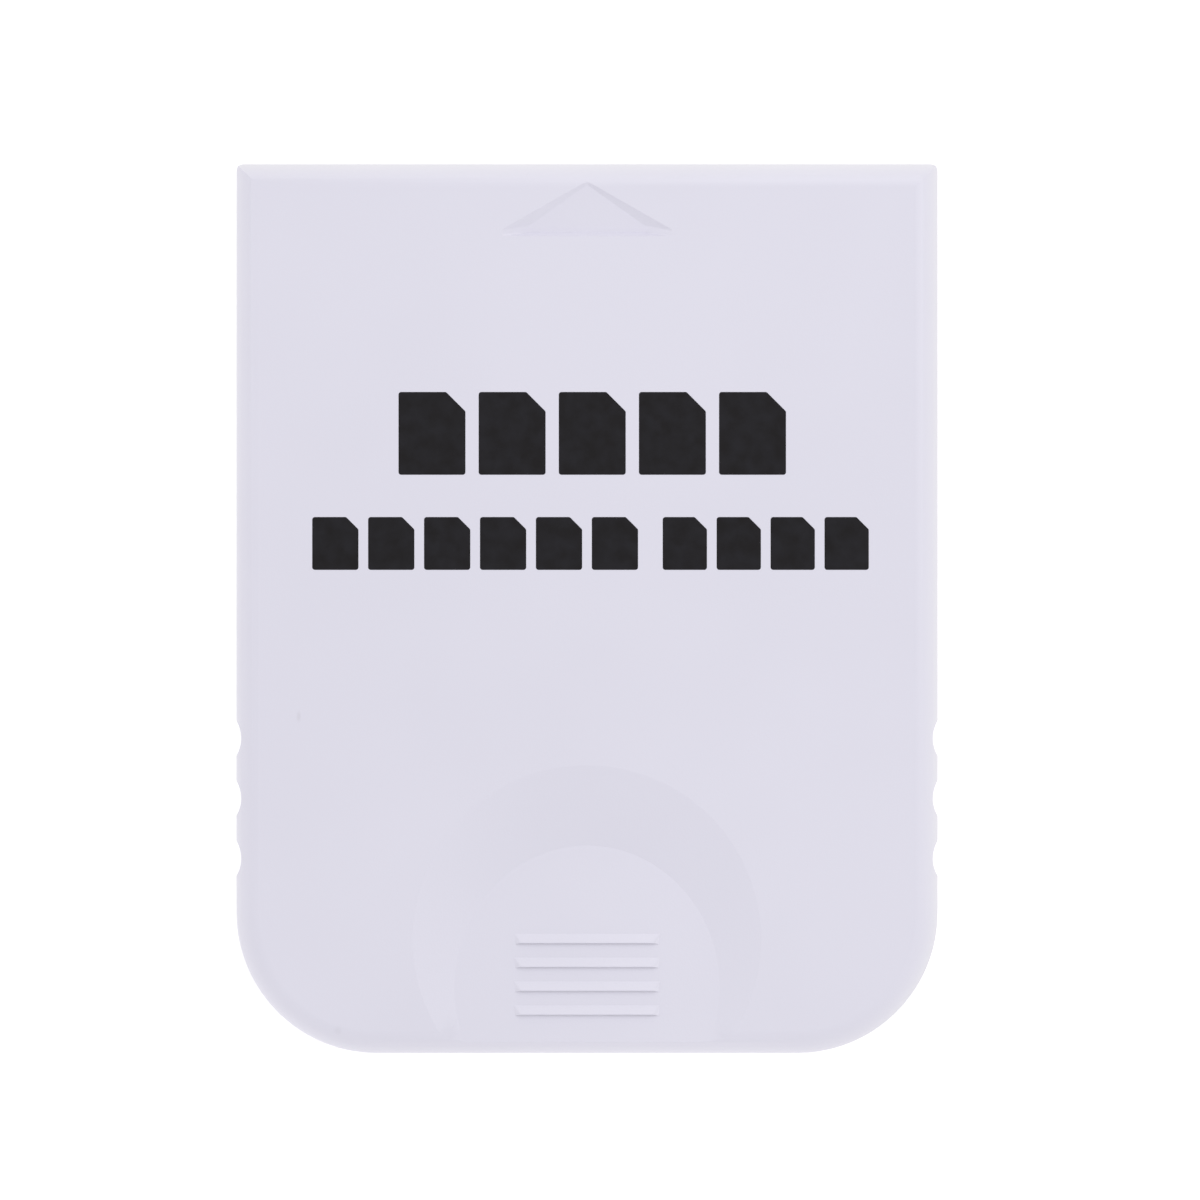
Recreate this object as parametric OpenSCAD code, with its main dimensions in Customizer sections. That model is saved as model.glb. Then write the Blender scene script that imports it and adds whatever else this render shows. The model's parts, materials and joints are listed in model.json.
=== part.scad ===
// Memory card for a games console: two moulded shells screwed together round a circuit board,
// whose gold contact fingers show in a mouth at the end that goes into the slot.
// The card lies on its rear face, with the origin at the middle of that face. +Z points out of
// the front face and +Y towards the insertion end. All sizes are in millimetres.

/* [Card] */
// Width across the two grip sides
card_w = 40; // [39:0.5:44]
// Length from the hand end to the insertion end
card_l = 50.7; // [49.7:0.1:56.7]
// Thickness from the rear face to the front face
card_t = 7.8; // [7.6:0.1:9]
// Radius of the two round corners at the hand end
hand_corner_r = 8; // [6:0.5:9]
// Radius of the two nearly square corners at the insertion end
slot_corner_r = 0.5; // [0.3:0.1:1]
// Radius that rounds the edge of the front face
front_edge_r = 1.4; // [0.8:0.1:1.6]
// Radius that rounds the edge of the rear face
rear_edge_r = 0.6; // [0.3:0.1:1]
// Height of the parting plane between the two shells
parting_z = 3.6; // [3.4:0.1:3.9]

/* [Shell walls] */
// Thickness of the side and end walls
wall_t = 1.4; // [1.2:0.1:1.7]
// Thickness of the front face
face_t = 1.2; // [1:0.1:1.3]
// Thickness of the rear face
floor_t = 1.2; // [1:0.1:1.5]
// Radius in the two square inner corners
inner_corner_r = 0.4; // [0.3:0.1:0.8]
// Thickness of the lip on the rear shell
lip_t = 0.6; // [0.5:0.05:0.7]
// Height of the lip above the parting plane
lip_h = 0.7; // [0.5:0.1:1]
// Clearance between pieces that fit into each other
fit_gap = 0.06; // [0.03:0.01:0.1]
// Width and depth of the fine seam groove round the parting plane
seam_d = 0.15; // [0.1:0.01:0.2]

/* [Side grips] */
// Number of scallops on each side
grip_count = 3; // [2:1:4]
// Distance between neighbouring scallops
grip_pitch = 3.42; // [3:0.1:4]
// Depth of a scallop in the side wall
grip_depth = 0.33; // [0.2:0.01:0.4]
// Radius of a scallop
grip_r = 1.75; // [1.5:0.05:2.6]
// Distance of the middle of the row of scallops from the hand end
grip_from_hand = 14.55; // [13.5:0.5:18]

/* [Insertion arrow] */
// Width of the arrow across its base
arrow_w = 9.75; // [7:0.05:12]
// Height of the arrow from base to tip
arrow_l = 3.1; // [2.4:0.05:4]
// Depth of the arrow recess along its base
arrow_depth = 0.36; // [0.25:0.01:0.5]
// Depth of the arrow recess at its tip
arrow_tip_depth = 0.12; // [0.05:0.01:0.2]
// Width of the two sloped walls at the base, seen from the front
arrow_slope = 0.54; // [0.2:0.02:0.6]
// Width of the steeper wall along the base
arrow_base_slope = 0.24; // [0.1:0.02:0.4]
// Distance of the arrow's tip from the insertion end
arrow_from_slot = 1.1; // [0.6:0.1:3]
// Radius that blunts the three tips
arrow_tip_r = 0.22; // [0.1:0.02:0.3]

/* [Thumb scoop] */
// Radius of the scoop's outer edge in the front face
scoop_r = 9.9; // [8:0.1:11]
// Radius at which the sloped wall meets the deepest part of the floor
scoop_floor_r = 5.3; // [4.5:0.1:6]
// Depth of the scoop where its floor starts
scoop_depth = 0.95; // [0.6:0.05:1.05]
// Depth of the floor where it runs out at the hand end
scoop_end_depth = 0.12; // [0.1:0.01:0.3]
// Distance of the scoop's centre from the hand end
scoop_from_hand = 6.55; // [6:0.05:8]

/* [Thumb ridges] */
// Number of ridges
ridge_count = 4; // [3:1:5]
// Distance between neighbouring ridges
ridge_pitch = 1.35; // [1.1:0.05:1.5]
// Length of a ridge
ridge_l = 8.2; // [6:0.1:10]
// Width of a ridge
ridge_w = 0.55; // [0.4:0.05:0.8]
// Width of the steep side of a ridge, which faces the hand end
ridge_back_w = 0.1; // [0.05:0.01:0.15]
// Length of the slope at each end of a ridge
ridge_end_l = 0.35; // [0.2:0.05:0.6]
// Height of a ridge above the floor
ridge_h = 0.22; // [0.15:0.01:0.3]
// Distance of the middle of the row of ridges from the hand end
ridge_from_hand = 4.5; // [3.8:0.05:4.8]

/* [Circuit board] */
// Thickness of the board
board_t = 1; // [0.8:0.1:1.2]
// Clearance between the board and the inside of the thumb scoop
board_front_gap = 0.45; // [0.3:0.05:0.7]
// Clearance between the board's edge and the hooks beside it
board_edge_gap = 0.2; // [0.1:0.05:0.3]
// Distance of the board's lower edge from the hand end
board_from_hand = 4; // [3:0.5:5]
// Distance of the tongue's edge from the insertion end
tongue_from_slot = 1.2; // [0.8:0.1:2]

/* [Contact fingers and mouth] */
// Number of contact fingers
finger_count = 12; // [8:1:12]
// Distance between neighbouring fingers
finger_pitch = 2; // [1.6:0.1:2.1]
// Width of a finger
finger_w = 1.3; // [1:0.1:1.5]
// Length of a finger
finger_l = 5; // [3:0.5:6]
// Thickness of a finger's metal
finger_t = 0.05; // [0.03:0.01:0.1]
// Bare strip between the fingers and the tongue's edge
finger_margin = 0.3; // [0.2:0.1:0.6]
// Bare strip beside the outer fingers
tongue_margin = 1.65; // [1:0.05:2]
// Gap between the tongue and the mouth's sides
mouth_side_gap = 0.3; // [0.2:0.05:0.5]
// Gap between the board and the mouth's front edge
mouth_front_gap = 0.2; // [0.1:0.05:0.3]
// Room in the mouth behind the contact fingers
mouth_rear_gap = 2.3; // [2:0.1:2.6]
// Width of the chamfer round the mouth
mouth_chamfer = 0.4; // [0.2:0.05:0.6]

/* [Ribs, pins and hooks] */
// Thickness of ribs and rails
rib_t = 0.8; // [0.6:0.1:1]
// Distance of the first rib across the card from the insertion end
rib_from_slot = 12.5; // [12:0.5:13]
// Distance between the two ribs across the card
rib_pitch = 14.5; // [13:0.5:15]
// Length of the front shell's ribs across the card
front_rib_w = 26; // [20:1:28]
// Distance of the front shell's ribs along the card from the middle
long_rib_x = 8; // [6:0.5:11]
// Height of the rear shell's ribs across the card
floor_rib_h = 0.8; // [0.5:0.1:1.2]
// Distance of the board rails from the card's sides
rail_from_side = 4.6; // [4.4:0.1:5]
// Distance of the board rails from the insertion end
rail_from_slot = 4.5; // [4:0.5:8]
// Radius of the locating pins
pin_r = 0.65; // [0.5:0.05:0.8]
// Height of a locating pin above the board
pin_h = 0.7; // [0.4:0.1:0.8]
// Thickness of the wall round a pin, in its post and its socket
pin_wall = 0.65; // [0.5:0.05:0.8]
// Distance of the locating pins from the insertion end
pin_from_slot = 9.85; // [8.5:0.1:11]
// Distance of the plain posts from the insertion end
post_from_slot = 33.5; // [32:0.5:36]
// Thickness of a hook's tab
hook_t = 0.8; // [0.6:0.05:0.9]
// Width of a hook's tab
hook_w = 3.2; // [2:0.1:4]
// Reach of a hook's barb
hook_barb = 0.35; // [0.2:0.05:0.4]
// Height of a hook's barb
hook_barb_h = 0.9; // [0.7:0.1:1]
// Depth of the catch under the parting plane
hook_catch_depth = 0.6; // [0.5:0.1:0.8]
// Distance of the first pair of hooks from the insertion end
hook_from_slot = 14; // [13:0.5:16]
// Distance between the two pairs of hooks
hook_pitch = 15; // [13:0.5:16]

/* [Screw] */
// Distance of the screw from the hand end
screw_from_hand = 9.35; // [9:0.1:10]
// Radius of the screw's shank over its thread
screw_r = 0.95; // [0.8:0.05:1]
// Thickness of the plastic left in front of the screw's bore
screw_cover = 0.7; // [0.6:0.05:0.9]
// Radius of the screw's head
screw_head_r = 1.7; // [1.5:0.05:1.9]
// Height of the screw's head
screw_head_h = 1.2; // [1:0.1:1.3]
// Depth of the head below the rear face
sunk_depth = 0.4; // [0.2:0.1:0.5]
// Thickness of the seat under the head
seat_t = 1; // [0.8:0.1:1.2]
// Clearance round the screw's head and shank
screw_gap = 0.2; // [0.1:0.05:0.3]
// Clearance between the screw's thread and the boss it is cut into
thread_gap = 0.05; // [0.02:0.01:0.08]
// Thickness of the wall round the screw, in the boss and the seat
boss_wall = 1.2; // [1:0.1:1.3]
// Width of one arm of the cross recess in the head
cross_w = 0.45; // [0.3:0.05:0.6]
// Length of the cross recess from tip to tip
cross_l = 1.9; // [1.6:0.1:2.2]
// Depth of the cross recess
cross_depth = 0.7; // [0.4:0.1:0.8]

/* [Chips] */
// Length of the memory chip's body, across the card
memory_w = 18.4; // [16:0.2:18.6]
// Width of the memory chip's body, along the card
memory_l = 12; // [11:0.2:12.4]
// Thickness of the memory chip's body
memory_t = 1; // [0.8:0.1:1.2]
// Leads on each side of the memory chip
memory_leads = 24; // [16:1:24]
// Reach of the memory chip's leads past its body
memory_lead_l = 0.8; // [0.6:0.1:0.9]
// Distance of the memory chip's centre from the insertion end
memory_from_slot = 19.85; // [19:0.1:20.5]
// Width of the square controller chip's body
controller_w = 7; // [6:0.2:7.2]
// Thickness of the controller chip's body
controller_t = 1.4; // [1:0.1:1.5]
// Leads on each side of the controller chip
controller_leads = 12; // [8:1:12]
// Reach of the controller chip's leads past its body
controller_lead_l = 1; // [0.8:0.1:1.1]
// Distance of the controller chip's centre from the insertion end
controller_from_slot = 33.35; // [33:0.05:34]
// Distance between neighbouring leads of both chips
lead_pitch = 0.5; // [0.4:0.05:0.5]
// Width of a lead
lead_w = 0.22; // [0.15:0.01:0.25]
// Thickness of a lead
lead_t = 0.15; // [0.1:0.01:0.2]
// Gap between a chip's body and the board
chip_gap = 0.1; // [0.05:0.01:0.15]
// Slope of a chip's moulded sides
chip_draft = 0.1; // [0.05:0.01:0.15]
// Radius of the dimple that marks a chip's first lead
dimple_r = 0.4; // [0.3:0.05:0.5]
// Depth of the dimple
dimple_depth = 0.1; // [0.05:0.01:0.15]
// Distance of the dimple's centre from the chip's edges
dimple_inset = 1.2; // [1:0.1:1.5]

/* [Small parts on the board] */
// Clearance between the posts and the parts beside them on the board
part_gap = 0.6; // [0.4:0.1:1]
// Length of a chip capacitor or resistor
small_l = 1.6; // [1.4:0.1:1.8]
// Width of a chip capacitor or resistor
small_w = 0.8; // [0.6:0.05:0.9]
// Length of a metal end cap
cap_l = 0.3; // [0.2:0.05:0.4]
// Thickness of the metal round the end of a part
cap_skin = 0.03; // [0.02:0.01:0.05]
// Height of a chip capacitor
capacitor_h = 0.8; // [0.6:0.05:0.9]
// Height of a chip resistor
resistor_h = 0.45; // [0.35:0.05:0.55]
// Length of the voltage regulator's body
regulator_l = 2.9; // [2.7:0.1:3.1]
// Width of the voltage regulator's body
regulator_w = 1.3; // [1.2:0.1:1.5]
// Height of the voltage regulator's body
regulator_h = 0.95; // [0.8:0.05:1.1]
// Reach of the voltage regulator's leads past its body
regulator_lead_l = 0.55; // [0.4:0.05:0.6]
// Distance of the voltage regulator's outer leads from its middle
regulator_lead_offset = 0.95; // [0.9:0.01:1]
// Width of the voltage regulator's leads
regulator_lead_w = 0.4; // [0.3:0.05:0.5]

/* [Hidden] */
$fn = 64;
hull_fn = 32;
// Thickness of the discs that a hull is drawn between
disc_t = 0.01;
// How far a cutting shape runs past the surface that it opens
over = 1;
// How far a rib runs into the wall that carries it
root = 0.2;

hand_y = -card_l / 2;
slot_y = card_l / 2;
ceiling_z = card_t - face_t;
inner_x = card_w / 2 - wall_t;
rail_x = card_w / 2 - rail_from_side;

scoop_y = hand_y + scoop_from_hand;
scoop_floor_y = scoop_y + scoop_floor_r;
scoop_wall_run = (scoop_r - scoop_floor_r) / scoop_depth;
// Height of the scoop's sloping floor at a given place along the card
function scoop_floor_z(y) =
    card_t - scoop_end_depth
    - (scoop_depth - scoop_end_depth) * (y - hand_y) / (scoop_floor_y - hand_y);

ridge_y = hand_y + ridge_from_hand;

grip_y = hand_y + grip_from_hand;
grip_x = card_w / 2 - grip_depth + grip_r;

board_front_z = ceiling_z - scoop_depth - board_front_gap;
board_z = board_front_z - board_t;
board_inset = wall_t + fit_gap + hook_t + board_edge_gap;
board_low_y = hand_y + board_from_hand;
tongue_y = slot_y - tongue_from_slot;
tongue_w = (finger_count - 1) * finger_pitch + finger_w + 2 * tongue_margin;
mouth_w = tongue_w + 2 * mouth_side_gap;
mouth_low_z = board_z - mouth_rear_gap;
mouth_high_z = board_front_z + mouth_front_gap;

hook_x = inner_x - fit_gap;
hook_catch_z = parting_z - hook_catch_depth;
hook_low_z = hook_catch_z - hook_barb_h;
hook_y = [slot_y - hook_from_slot, slot_y - hook_from_slot - hook_pitch];

pin_y = slot_y - pin_from_slot;
post_y = slot_y - post_from_slot;
post_r = pin_r + pin_wall;

screw_y = hand_y + screw_from_hand;
seat_z = sunk_depth + screw_head_h;
boss_z = seat_z + seat_t;
boss_r = screw_r + boss_wall;
screw_tip_z = scoop_floor_z(screw_y) - screw_cover - screw_gap;
screw_l = screw_tip_z - seat_z;

rib_y = [slot_y - rib_from_slot, slot_y - rib_from_slot - rib_pitch];
rail_high_y = slot_y - rail_from_slot;
rail_low_y = post_y - post_r;

// The outermost parts on the board stand a clearance off the posts in the rails
clear_x = rail_x - post_r - part_gap;
column_x = clear_x - small_w / 2;
controller_x = controller_lead_l + controller_w / 2 - clear_x;

// Places of the small parts: distance from the middle, distance from the insertion end, and turn
capacitor_places = [
    [-9, 10, 0], [-3, 10, 0], [3, 10, 0], [9, 10, 0], [column_x, 31.5, 90], [7.5, 35.5, 0]
];
resistor_places = [[column_x, 17.5, 90], [column_x, 22.5, 90], [-1.5, 29.5, 90], [1.5, 29.5, 90]];
regulator_place = [7.5, 31.5, 0];

shell_colour = "#dedce8";
board_colour = "#1f5a36";
metal_colour = "#b9bcc0";
gold_colour = "#d9b45a";
chip_colour = "#26262a";

// Turns a flat shape drawn in Y and Z into a bar along X, centred on the card
module along_x(length) {
    rotate([90, 0, 90])
        linear_extrude(length, center = true)
            children();
}

// Turns a flat shape drawn in X and Z into a bar along Y, centred on the card
module along_y(length) {
    rotate([90, 0, 0])
        linear_extrude(length, center = true)
            children();
}

// Both halves of what is drawn on the right of the card
module both_sides() {
    for (side = [0, 1]) {
        mirror([side, 0, 0])
            children();
    }
}

// The card's outline, moved inwards by inset
module card_outline(inset) {
    half_w = card_w / 2 - inset;
    low_y = hand_y + inset;
    high_y = slot_y - inset;
    low_r = hand_corner_r - inset;
    high_r = inset > 0 ? inner_corner_r : slot_corner_r;
    translate([-half_w, low_y + low_r])
        square([2 * half_w, high_y - low_y - low_r - high_r]);
    translate([-half_w + low_r, low_y])
        square([2 * (half_w - low_r), low_r]);
    translate([-half_w + high_r, high_y - high_r])
        square([2 * (half_w - high_r), high_r]);
    both_sides() {
        translate([half_w - low_r, low_y + low_r])
            circle(low_r);
        translate([half_w - high_r, high_y - high_r])
            circle(high_r);
    }
}

// The round scallops of the side grips, made wider by grow
module grip_scallops(grow) {
    both_sides() {
        for (i = [0:grip_count - 1]) {
            translate([grip_x, grip_y + (i - (grip_count - 1) / 2) * grip_pitch])
                circle(grip_r + grow);
        }
    }
}

// Section from the middle of the card out to one edge, with both edge radii
module edge_section(reach) {
    square([reach - front_edge_r, card_t]);
    square([reach - rear_edge_r, card_t / 2]);
    translate([0, rear_edge_r])
        square([reach, card_t - rear_edge_r - front_edge_r]);
    translate([reach - front_edge_r, card_t - front_edge_r])
        circle(front_edge_r);
    translate([reach - rear_edge_r, rear_edge_r])
        circle(rear_edge_r);
}

// The whole card as one block: straight edges meet in mitres at the insertion end, and
// the two round corners at the hand end are the same section turned through a quarter
module card_block() {
    corner_x = card_w / 2 - hand_corner_r;
    difference() {
        union() {
            difference() {
                intersection() {
                    along_x(card_w + 2 * over)
                        both_sides()
                            edge_section(card_l / 2);
                    along_y(card_l + 2 * over)
                        both_sides()
                            edge_section(card_w / 2);
                    translate([0, 0, -over])
                        linear_extrude(card_t + 2 * over)
                            card_outline(0);
                }
                both_sides()
                    translate([corner_x, hand_y + hand_corner_r, -over])
                        mirror([0, 1, 0])
                            cube([hand_corner_r + over, hand_corner_r + over, card_t + 2 * over]);
            }
            both_sides()
                translate([corner_x, hand_y + hand_corner_r, 0])
                    rotate_extrude(angle = 90, start = 270)
                        edge_section(hand_corner_r);
        }
        translate([0, 0, -over])
            linear_extrude(card_t + 2 * over)
                grip_scallops(0);
    }
}

// The card between two heights
module card_slice(low_z, high_z) {
    intersection() {
        card_block();
        translate([-card_w, -card_l, low_z])
            cube([2 * card_w, 2 * card_l, high_z - low_z]);
    }
}

// The opening in the end wall, widened by a chamfer at the end face
module connector_mouth() {
    inner_y = slot_y - wall_t - root;
    c = mouth_chamfer;
    intersection() {
        along_x(card_w)
            polygon([
                [inner_y, mouth_low_z], [slot_y - c, mouth_low_z],
                [slot_y + over, mouth_low_z - c - over], [slot_y + over, mouth_high_z + c + over],
                [slot_y - c, mouth_high_z], [inner_y, mouth_high_z]
            ]);
        linear_extrude(card_t)
            polygon([
                [-mouth_w / 2, inner_y], [-mouth_w / 2, slot_y - c],
                [-mouth_w / 2 - c - over, slot_y + over], [mouth_w / 2 + c + over, slot_y + over],
                [mouth_w / 2, slot_y - c], [mouth_w / 2, inner_y]
            ]);
    }
}

// The arrow recess: a shallow pit with blunt tips, whose floor falls from the tip to the base. The
// wall along the base is steeper than the two that meet at the tip. Each wall is flat, so how far
// it stands in from the rim grows evenly with the depth
module arrow_recess() {
    rim_w = arrow_w / 2 - arrow_tip_r;
    rim_l = arrow_l - 2 * arrow_tip_r;
    rim_y = slot_y - arrow_from_slot - arrow_l + arrow_tip_r;
    lean = atan2(rim_l, rim_w);
    function base_y(depth) = rim_y + arrow_base_slope * depth / arrow_depth;
    function tip_y(depth) = rim_y + rim_l - arrow_slope * depth / arrow_depth / cos(lean);
    function base_x(depth) = (tip_y(depth) - base_y(depth)) / tan(lean);
    hull() {
        for (corner = [
            [0, tip_y(arrow_tip_depth), arrow_tip_depth], [0, tip_y(-root), -root],
            [base_x(arrow_depth), base_y(arrow_depth), arrow_depth],
            [-base_x(arrow_depth), base_y(arrow_depth), arrow_depth],
            [base_x(-root), base_y(-root), -root], [-base_x(-root), base_y(-root), -root]
        ]) {
            translate([corner[0], corner[1], card_t - corner[2]])
                cylinder(h = disc_t, r = arrow_tip_r, $fn = hull_fn);
        }
    }
}

// The hollow of the thumb scoop: a wide cone cut off by a floor that rises to the hand end
module scoop_hollow() {
    high_z = card_t + root;
    intersection() {
        translate([0, scoop_y, card_t - scoop_depth])
            cylinder(h = scoop_depth + root, r1 = scoop_floor_r,
                     r2 = scoop_r + root * scoop_wall_run);
        along_x(card_w)
            polygon([
                [hand_y - over, scoop_floor_z(hand_y - over)],
                [scoop_y + scoop_r, scoop_floor_z(scoop_y + scoop_r)],
                [scoop_y + scoop_r, high_z], [hand_y - over, high_z]
            ]);
    }
}

// One ridge across the thumb scoop: a low wedge that is steep towards the hand end and slopes down
// towards the insertion end, with sloping ends. Its slopes run on into the floor
module thumb_ridge(y) {
    crest_y = y - ridge_w / 2 + ridge_back_w;
    crest_z = scoop_floor_z(y) + ridge_h;
    crest_x = ridge_l / 2 - ridge_end_l;
    sunk = 1 + root / 2 / ridge_h;
    intersection() {
        along_x(ridge_l + 2 * root)
            polygon([
                [crest_y - sunk * ridge_back_w, crest_z - sunk * ridge_h], [crest_y, crest_z],
                [crest_y + sunk * (ridge_w - ridge_back_w), crest_z - sunk * ridge_h]
            ]);
        along_y(card_l)
            polygon([
                [-crest_x, crest_z], [crest_x, crest_z],
                [crest_x + sunk * ridge_end_l, crest_z - sunk * ridge_h],
                [-crest_x - sunk * ridge_end_l, crest_z - sunk * ridge_h]
            ]);
    }
}

// The groove that the rear shell's lip stands in
module lip_rebate() {
    translate([0, 0, parting_z - over])
        linear_extrude(over + lip_h + fit_gap)
            card_outline(wall_t - lip_t - fit_gap);
}

// The fine groove that shows round the card where the shells meet
module seam_groove() {
    translate([0, 0, parting_z - over])
        linear_extrude(over + seam_d)
            difference() {
                square([card_w + 2 * over, card_l + 2 * over], center = true);
                difference() {
                    card_outline(seam_d);
                    grip_scallops(seam_d);
                }
            }
}

// A hook that hangs from the front shell beside a side wall, with its barb turned outwards
module shell_hook(y) {
    root_z = parting_z + lip_h + 2 * fit_gap;
    translate([0, y, 0]) {
        translate([hook_x - hook_t, -hook_w / 2, hook_low_z])
            cube([hook_t, hook_w, ceiling_z + root - hook_low_z]);
        translate([hook_x - hook_t, -hook_w / 2, root_z])
            cube([hook_t + fit_gap + root, hook_w, ceiling_z + root - root_z]);
        along_y(hook_w)
            polygon([
                [hook_x - root, hook_low_z], [hook_x, hook_low_z],
                [hook_x + hook_barb, hook_catch_z - hook_barb_h / 3],
                [hook_x + hook_barb, hook_catch_z], [hook_x - root, hook_catch_z]
            ]);
    }
}

// The ribs inside the front face that press on the board: two across it, joined by two along it
module front_ribs() {
    rib_h = ceiling_z + root - board_front_z;
    for (y = rib_y) {
        translate([-front_rib_w / 2, y - rib_t / 2, board_front_z])
            cube([front_rib_w, rib_t, rib_h]);
    }
    both_sides()
        translate([long_rib_x - rib_t / 2, rib_y[1], board_front_z])
            cube([rib_t, rib_pitch, rib_h]);
}

// Front shell: a shallow cover with a dished thumb grip whose hollow also shows inside
module front_shell() {
    color(shell_colour) {
        difference() {
            union() {
                difference() {
                    card_slice(parting_z, card_t);
                    translate([0, 0, parting_z - over])
                        linear_extrude(ceiling_z - parting_z + over)
                            card_outline(wall_t);
                    lip_rebate();
                }
                translate([0, 0, -face_t])
                    intersection() {
                        scoop_hollow();
                        linear_extrude(card_t + root)
                            card_outline(wall_t / 2);
                    }
                front_ribs();
                both_sides() {
                    for (y = hook_y) {
                        shell_hook(y);
                    }
                    translate([rail_x, pin_y, board_front_z])
                        cylinder(h = ceiling_z + root - board_front_z, r = post_r + fit_gap);
                    translate([rail_x, post_y, board_front_z])
                        cylinder(h = ceiling_z + root - board_front_z, r = post_r);
                }
                translate([0, screw_y, boss_z])
                    cylinder(h = ceiling_z + root - boss_z, r = boss_r);
            }
            seam_groove();
            connector_mouth();
            arrow_recess();
            scoop_hollow();
            both_sides()
                translate([rail_x, pin_y, board_front_z - over])
                    cylinder(h = over + pin_h + fit_gap, r = pin_r + fit_gap);
            translate([0, screw_y, boss_z - over])
                cylinder(h = screw_tip_z + screw_gap - boss_z + over, r = screw_r + thread_gap);
        }
        for (i = [0:ridge_count - 1]) {
            thumb_ridge(ridge_y + (i - (ridge_count - 1) / 2) * ridge_pitch);
        }
    }
}

// The wall that stands up inside the front shell's rebate, left open at the mouth
module rear_lip() {
    translate([0, 0, parting_z - root])
        linear_extrude(root + lip_h)
            difference() {
                card_outline(wall_t - lip_t);
                card_outline(wall_t);
            }
}

// The rails and low ribs inside the rear face
module rear_ribs() {
    both_sides()
        translate([rail_x - rib_t / 2, rail_low_y, floor_t - root])
            cube([rib_t, rail_high_y - rail_low_y, board_z - floor_t + root]);
    for (y = rib_y) {
        translate([-rail_x, y - rib_t / 2, floor_t - root])
            cube([2 * rail_x, rib_t, floor_rib_h + root]);
    }
}

// Rear shell: a tray that carries the board on rails, with the screw's seat and the hooks' catches
module rear_shell() {
    catch_gap = 2 * fit_gap;
    color(shell_colour) {
        difference() {
            union() {
                difference() {
                    card_slice(0, parting_z);
                    translate([0, 0, floor_t])
                        linear_extrude(card_t)
                            card_outline(wall_t);
                }
                rear_lip();
                rear_ribs();
                both_sides() {
                    for (y = [pin_y, post_y]) {
                        translate([rail_x, y, floor_t - root])
                            cylinder(h = board_z - floor_t + root, r = post_r);
                    }
                    translate([rail_x, pin_y, floor_t])
                        cylinder(h = board_front_z + pin_h - floor_t, r = pin_r);
                }
                translate([0, screw_y, floor_t - root])
                    cylinder(h = boss_z - floor_t + root, r = screw_head_r + screw_gap + boss_wall);
            }
            connector_mouth();
            both_sides() {
                for (y = hook_y) {
                    translate([inner_x - root, y - hook_w / 2 - catch_gap, hook_low_z - catch_gap])
                        cube([hook_barb + root, hook_w + 2 * catch_gap,
                              hook_barb_h + catch_gap + fit_gap]);
                }
            }
            translate([0, screw_y, -over])
                cylinder(h = over + seat_z, r = screw_head_r + screw_gap);
            translate([0, screw_y, 0])
                cylinder(h = boss_z + over, r = screw_r + screw_gap);
        }
    }
}

// Self-tapping screw: domed head with a cross recess, plain shank for the thread, pointed tip
module screw() {
    tip_l = screw_r;
    dome_r = (pow(screw_head_r, 2) + pow(screw_head_h, 2)) / screw_head_h;
    color(metal_colour)
        translate([0, screw_y, 0])
            difference() {
                union() {
                    intersection() {
                        translate([0, 0, sunk_depth])
                            cylinder(h = screw_head_h, r = screw_head_r);
                        translate([0, 0, sunk_depth + dome_r])
                            sphere(dome_r);
                    }
                    translate([0, 0, seat_z])
                        cylinder(h = screw_l - tip_l, r = screw_r);
                    translate([0, 0, screw_tip_z - tip_l])
                        cylinder(h = tip_l, r1 = screw_r, r2 = screw_r / 3);
                }
                for (turn = [0, 90]) {
                    rotate([0, 0, turn])
                        translate([-cross_l / 2, -cross_w / 2, sunk_depth - over])
                            cube([cross_l, cross_w, over + cross_depth]);
                }
            }
}

// Circuit board: follows the inside of the shells, with a tongue that stands in the mouth
module circuit_board() {
    color(board_colour)
        translate([0, 0, board_z])
            linear_extrude(board_t)
                difference() {
                    union() {
                        intersection() {
                            card_outline(board_inset);
                            translate([-card_w / 2, board_low_y])
                                square([card_w, card_l]);
                        }
                        translate([-tongue_w / 2, 0])
                            square([tongue_w, tongue_y]);
                    }
                    translate([0, screw_y])
                        circle(boss_r + board_edge_gap);
                    both_sides()
                        translate([rail_x, pin_y])
                            circle(pin_r + fit_gap);
                }
}

// One contact finger on the board's rear side, counted from the left
module contact_finger(i) {
    x = (i - (finger_count + 1) / 2) * finger_pitch;
    color(gold_colour)
        translate([x - finger_w / 2, tongue_y - finger_margin - finger_l, board_z - finger_t])
            cube([finger_w, finger_l, finger_t]);
}

// Places what is drawn standing on the board's rear side, a given way from the insertion end
module on_board(x, from_slot, turn = 0) {
    translate([x, slot_y - from_slot, board_z])
        rotate([180, 0, turn])
            children();
}

// Section through a moulded chip body: it stands a little off the board, and both sides slope
// out to a middle line
function drafted_section(width, height) =
    let(foot = width / 2 - chip_draft, high_z = chip_gap + height)
    [
        [-foot, chip_gap], [foot, chip_gap], [width / 2, chip_gap + height / 2],
        [foot, high_z], [-foot, high_z], [-width / 2, chip_gap + height / 2]
    ];

// A moulded chip body with four sloping sides
module chip_body(width, length, height) {
    intersection() {
        along_y(length + over)
            polygon(drafted_section(width, height));
        along_x(width + over)
            polygon(drafted_section(length, height));
    }
}

// One bent lead, from the middle line of a chip's side down to a foot on the board
module gull_lead(reach, body_h, width) {
    middle = chip_gap + body_h / 2;
    knee = 0.3 * reach;
    ankle = 0.5 * reach;
    along_y(width)
        polygon([
            [0, middle + lead_t / 2], [knee, middle + lead_t / 2], [ankle, lead_t],
            [reach, lead_t], [reach, 0], [ankle - lead_t / 2, 0],
            [knee - lead_t / 2, middle - lead_t / 2], [0, middle - lead_t / 2]
        ]);
}

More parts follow.
